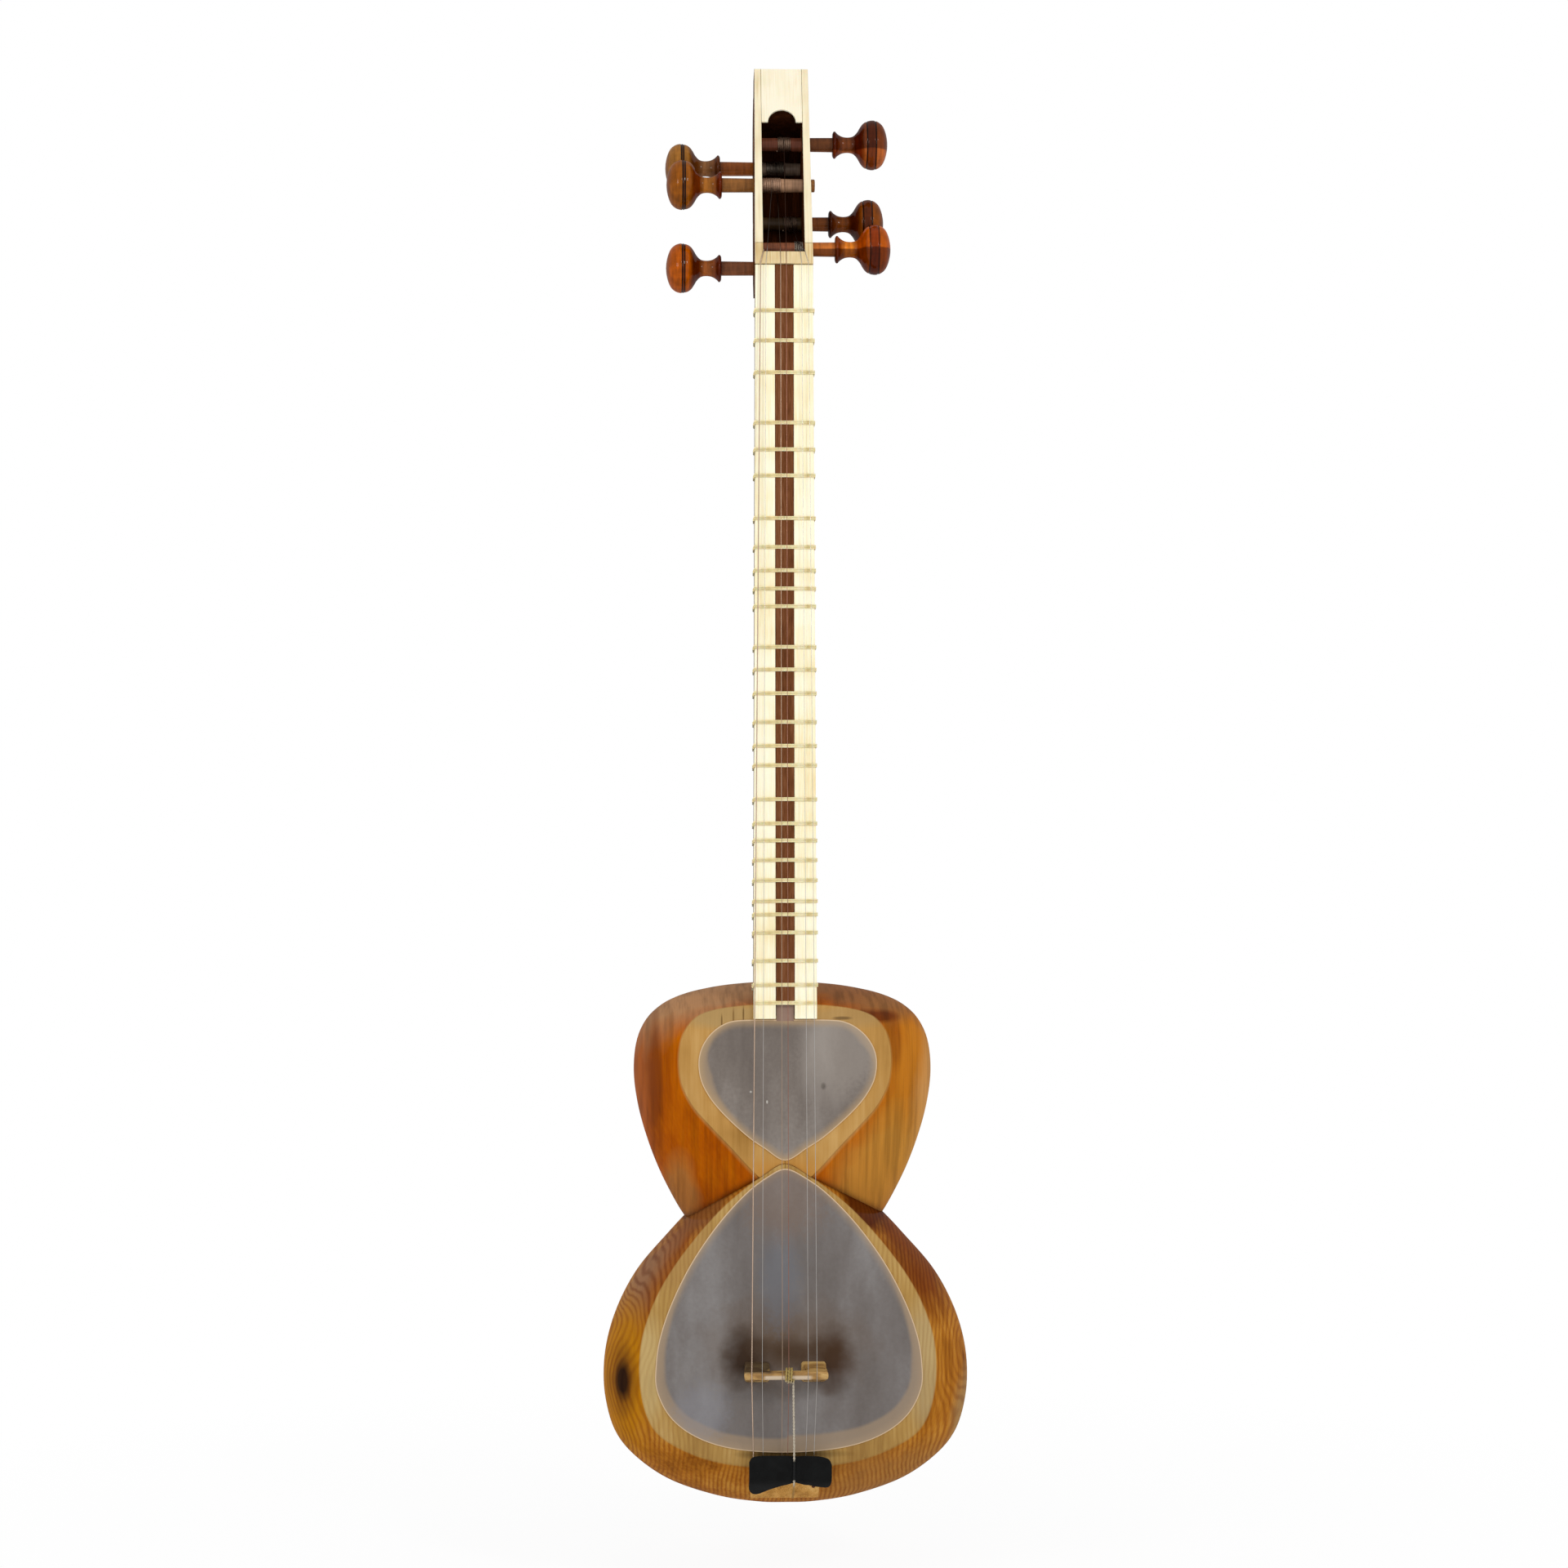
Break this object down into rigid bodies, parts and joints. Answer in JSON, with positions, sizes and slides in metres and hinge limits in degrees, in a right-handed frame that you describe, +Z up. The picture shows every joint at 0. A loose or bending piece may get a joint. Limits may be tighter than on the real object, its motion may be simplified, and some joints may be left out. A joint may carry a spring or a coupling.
{
  "type": "persian tar",
  "caption": "Long-necked plucked lute with a double-bowl wooden body, two skin faces, tied gut frets, turned pegs and strings in pairs.",
  "frame": {"origin": "on the middle plane and the plane of the lower skin's rim, level with the nut's edge, where the strings start to sound", "axes": "+Z up along the body's face towards the head, +X to the right seen from the front, +Y into the body"},
  "size_m": [0.2236, 0.1873, 0.8809],
  "materials": {
    "mulberry": "varnished mulberry with an open grain",
    "walnut": "oiled walnut",
    "bone": "polished bone, satin",
    "skin": "thin stretched lambskin, satin",
    "peg_wood": "turned walnut, glossy varnish",
    "gut": "twisted gut, satin",
    "horn": "polished horn",
    "leather": "black leather, matt",
    "cord": "waxed cord",
    "bronze": "bronze wound wire",
    "brass": "drawn brass wire",
    "steel": "drawn steel wire"
  },
  "bodies": {
    "body_and_neck": {"bowl_left_half": "mulberry", "bowl_right_half": "mulberry", "neck": "walnut", "fingerboard_centre_strip": "walnut", "pegbox": "walnut", "fingerboard_bone_left": "bone", "fingerboard_bone_right": "bone", "nut": "bone", "pegbox_edge_left": "bone", "pegbox_edge_right": "bone", "pegbox_front_plate": "bone", "skin_lower": "skin", "skin_upper": "skin", "fret_28": "gut", "bridge": "horn", "string_holder": "horn", "tail_pad": "leather", "bridge_tether": "cord", "string_1": "bronze", "string_3": "brass", "string_4": "brass", "string_2": "steel", "string_5": "steel", "string_6": "steel"},
    "peg_1": {"peg_1": "peg_wood"},
    "peg_2": {"peg_2": "peg_wood"},
    "peg_3": {"peg_3": "peg_wood"},
    "peg_4": {"peg_4": "peg_wood"},
    "peg_5": {"peg_5": "peg_wood"},
    "peg_6": {"peg_6": "peg_wood"},
    "fret_01": {"fret_01": "gut"},
    "fret_02": {"fret_02": "gut"},
    "fret_03": {"fret_03": "gut"},
    "fret_04": {"fret_04": "gut"},
    "fret_05": {"fret_05": "gut"},
    "fret_06": {"fret_06": "gut"},
    "fret_07": {"fret_07": "gut"},
    "fret_08": {"fret_08": "gut"},
    "fret_09": {"fret_09": "gut"},
    "fret_10": {"fret_10": "gut"},
    "fret_11": {"fret_11": "gut"},
    "fret_12": {"fret_12": "gut"},
    "fret_13": {"fret_13": "gut"},
    "fret_14": {"fret_14": "gut"},
    "fret_15": {"fret_15": "gut"},
    "fret_16": {"fret_16": "gut"},
    "fret_17": {"fret_17": "gut"},
    "fret_18": {"fret_18": "gut"},
    "fret_19": {"fret_19": "gut"},
    "fret_20": {"fret_20": "gut"},
    "fret_21": {"fret_21": "gut"},
    "fret_22": {"fret_22": "gut"},
    "fret_23": {"fret_23": "gut"},
    "fret_24": {"fret_24": "gut"},
    "fret_25": {"fret_25": "gut"},
    "fret_26": {"fret_26": "gut"},
    "fret_27": {"fret_27": "gut"}
  },
  "joints": [
    {"name": "peg_1_turn", "type": "hinge", "parent": "body_and_neck", "child": "peg_1", "pos_m": [0, 0.05738, 0.07978], "axis": [1, 0, 0], "continuous": true},
    {"name": "peg_2_turn", "type": "hinge", "parent": "body_and_neck", "child": "peg_2", "pos_m": [0, 0.0753, 0.06762], "axis": [-1, 0, 0], "continuous": true},
    {"name": "peg_3_turn", "type": "hinge", "parent": "body_and_neck", "child": "peg_3", "pos_m": [0, 0.04538, 0.05265], "axis": [-1, 0, 0], "continuous": true},
    {"name": "peg_4_turn", "type": "hinge", "parent": "body_and_neck", "child": "peg_4", "pos_m": [0, 0.06224, 0.03173], "axis": [1, 0, 0], "continuous": true},
    {"name": "peg_5_turn", "type": "hinge", "parent": "body_and_neck", "child": "peg_5", "pos_m": [0, 0.03043, 0.01159], "axis": [1, 0, 0], "continuous": true},
    {"name": "peg_6_turn", "type": "hinge", "parent": "body_and_neck", "child": "peg_6", "pos_m": [0, 0.05167, 0.00269], "axis": [-1, 0, 0], "continuous": true},
    {"name": "fret_01_slide", "type": "slide", "parent": "body_and_neck", "child": "fret_01", "axis": [0, 0.0349, 0.9994], "range_m": [-0.0022, 0.0022]},
    {"name": "fret_02_slide", "type": "slide", "parent": "body_and_neck", "child": "fret_02", "axis": [0, 0.0349, 0.9994], "range_m": [-0.0022, 0.0022]},
    {"name": "fret_03_slide", "type": "slide", "parent": "body_and_neck", "child": "fret_03", "axis": [0, 0.0349, 0.9994], "range_m": [-0.0022, 0.0022]},
    {"name": "fret_04_slide", "type": "slide", "parent": "body_and_neck", "child": "fret_04", "axis": [0, 0.0349, 0.9994], "range_m": [-0.0022, 0.0022]},
    {"name": "fret_05_slide", "type": "slide", "parent": "body_and_neck", "child": "fret_05", "axis": [0, 0.0349, 0.9994], "range_m": [-0.0022, 0.0022]},
    {"name": "fret_06_slide", "type": "slide", "parent": "body_and_neck", "child": "fret_06", "axis": [0, 0.0349, 0.9994], "range_m": [-0.0022, 0.0022]},
    {"name": "fret_07_slide", "type": "slide", "parent": "body_and_neck", "child": "fret_07", "axis": [0, 0.0349, 0.9994], "range_m": [-0.0022, 0.0022]},
    {"name": "fret_08_slide", "type": "slide", "parent": "body_and_neck", "child": "fret_08", "axis": [0, 0.0349, 0.9994], "range_m": [-0.0022, 0.0022]},
    {"name": "fret_09_slide", "type": "slide", "parent": "body_and_neck", "child": "fret_09", "axis": [0, 0.0349, 0.9994], "range_m": [-0.0022, 0.0022]},
    {"name": "fret_10_slide", "type": "slide", "parent": "body_and_neck", "child": "fret_10", "axis": [0, 0.0349, 0.9994], "range_m": [-0.0022, 0.0022]},
    {"name": "fret_11_slide", "type": "slide", "parent": "body_and_neck", "child": "fret_11", "axis": [0, 0.0349, 0.9994], "range_m": [-0.0022, 0.0022]},
    {"name": "fret_12_slide", "type": "slide", "parent": "body_and_neck", "child": "fret_12", "axis": [0, 0.0349, 0.9994], "range_m": [-0.0022, 0.0022]},
    {"name": "fret_13_slide", "type": "slide", "parent": "body_and_neck", "child": "fret_13", "axis": [0, 0.0349, 0.9994], "range_m": [-0.0022, 0.0022]},
    {"name": "fret_14_slide", "type": "slide", "parent": "body_and_neck", "child": "fret_14", "axis": [0, 0.0349, 0.9994], "range_m": [-0.0022, 0.0022]},
    {"name": "fret_15_slide", "type": "slide", "parent": "body_and_neck", "child": "fret_15", "axis": [0, 0.0349, 0.9994], "range_m": [-0.0022, 0.0022]},
    {"name": "fret_16_slide", "type": "slide", "parent": "body_and_neck", "child": "fret_16", "axis": [0, 0.0349, 0.9994], "range_m": [-0.0022, 0.0022]},
    {"name": "fret_17_slide", "type": "slide", "parent": "body_and_neck", "child": "fret_17", "axis": [0, 0.0349, 0.9994], "range_m": [-0.0022, 0.0022]},
    {"name": "fret_18_slide", "type": "slide", "parent": "body_and_neck", "child": "fret_18", "axis": [0, 0.0349, 0.9994], "range_m": [-0.0022, 0.0022]},
    {"name": "fret_19_slide", "type": "slide", "parent": "body_and_neck", "child": "fret_19", "axis": [0, 0.0349, 0.9994], "range_m": [-0.0022, 0.0022]},
    {"name": "fret_20_slide", "type": "slide", "parent": "body_and_neck", "child": "fret_20", "axis": [0, 0.0349, 0.9994], "range_m": [-0.0022, 0.0022]},
    {"name": "fret_21_slide", "type": "slide", "parent": "body_and_neck", "child": "fret_21", "axis": [0, 0.0349, 0.9994], "range_m": [-0.0022, 0.0022]},
    {"name": "fret_22_slide", "type": "slide", "parent": "body_and_neck", "child": "fret_22", "axis": [0, 0.0349, 0.9994], "range_m": [-0.0022, 0.0022]},
    {"name": "fret_23_slide", "type": "slide", "parent": "body_and_neck", "child": "fret_23", "axis": [0, 0.0349, 0.9994], "range_m": [-0.0014, 0.0022]},
    {"name": "fret_24_slide", "type": "slide", "parent": "body_and_neck", "child": "fret_24", "axis": [0, 0.0349, 0.9994], "range_m": [-0.0022, 0.0014]},
    {"name": "fret_25_slide", "type": "slide", "parent": "body_and_neck", "child": "fret_25", "axis": [0, 0.0349, 0.9994], "range_m": [-0.0022, 0.0022]},
    {"name": "fret_26_slide", "type": "slide", "parent": "body_and_neck", "child": "fret_26", "axis": [0, 0.0349, 0.9994], "range_m": [-0.0022, 0.0022]},
    {"name": "fret_27_slide", "type": "slide", "parent": "body_and_neck", "child": "fret_27", "axis": [0, 0.0349, 0.9994], "range_m": [0, 0.0022]}
  ]
}
